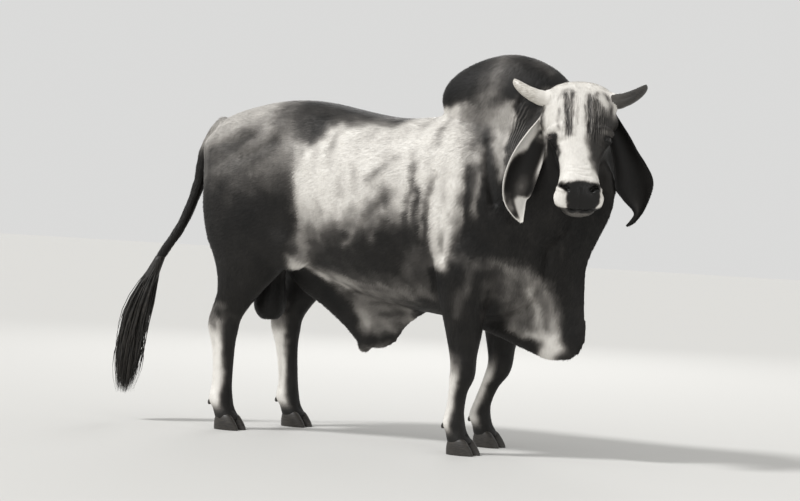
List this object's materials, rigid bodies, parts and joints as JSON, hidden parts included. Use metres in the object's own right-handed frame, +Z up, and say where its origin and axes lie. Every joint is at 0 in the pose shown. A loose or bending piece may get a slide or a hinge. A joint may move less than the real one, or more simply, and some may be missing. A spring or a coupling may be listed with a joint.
{
  "type": "brahman bull, life-size still model",
  "caption": "Humped bull standing on cloven hooves, head turned to its right, with long hanging ears, short horns, deep dewlap, pendulous sheath and a long tail with a full switch.",
  "frame": {"origin": "on the ground under the middle of the animal's box", "axes": "+X toward the front of the body, +Y toward the animal's left, +Z up"},
  "size_m": [2.7038, 0.7115, 1.7632],
  "materials": {
    "pale_hide": "short smooth pale grey coat over skin",
    "dark_hide": "short smooth charcoal coat over skin",
    "horn": "dull keratin horn, weathered, fine growth rings",
    "hoof_horn": "dark dull hoof horn",
    "eye": "wet dark eye",
    "switch_hair": "long coarse black hair"
  },
  "bodies": {
    "root": {"claw_fore_left_inner": "hoof_horn", "claw_fore_left_outer": "hoof_horn", "claw_fore_right_inner": "hoof_horn", "claw_fore_right_outer": "hoof_horn", "claw_hind_left_inner": "hoof_horn", "claw_hind_left_outer": "hoof_horn", "claw_hind_right_inner": "hoof_horn", "claw_hind_right_outer": "hoof_horn", "dewclaw_fore_left_inner": "hoof_horn", "dewclaw_fore_left_outer": "hoof_horn", "dewclaw_fore_right_inner": "hoof_horn", "dewclaw_fore_right_outer": "hoof_horn", "dewclaw_hind_left_inner": "hoof_horn", "dewclaw_hind_left_outer": "hoof_horn", "dewclaw_hind_right_inner": "hoof_horn", "dewclaw_hind_right_outer": "hoof_horn", "dewlap": "dark_hide", "ear_left": "pale_hide", "ear_right": "pale_hide", "eye_left": "eye", "eye_right": "eye", "foreleg_left": "dark_hide", "foreleg_right": "dark_hide", "head": "pale_hide", "hindleg_left": "dark_hide", "hindleg_right": "dark_hide", "horn_left": "horn", "horn_right": "horn", "hump": "dark_hide", "neck": "pale_hide", "scrotum": "dark_hide", "sheath": "pale_hide", "tail_dock": "dark_hide", "tail_shaft": "dark_hide", "tail_switch": "switch_hair", "torso": "pale_hide"}
  },
  "joints": []
}
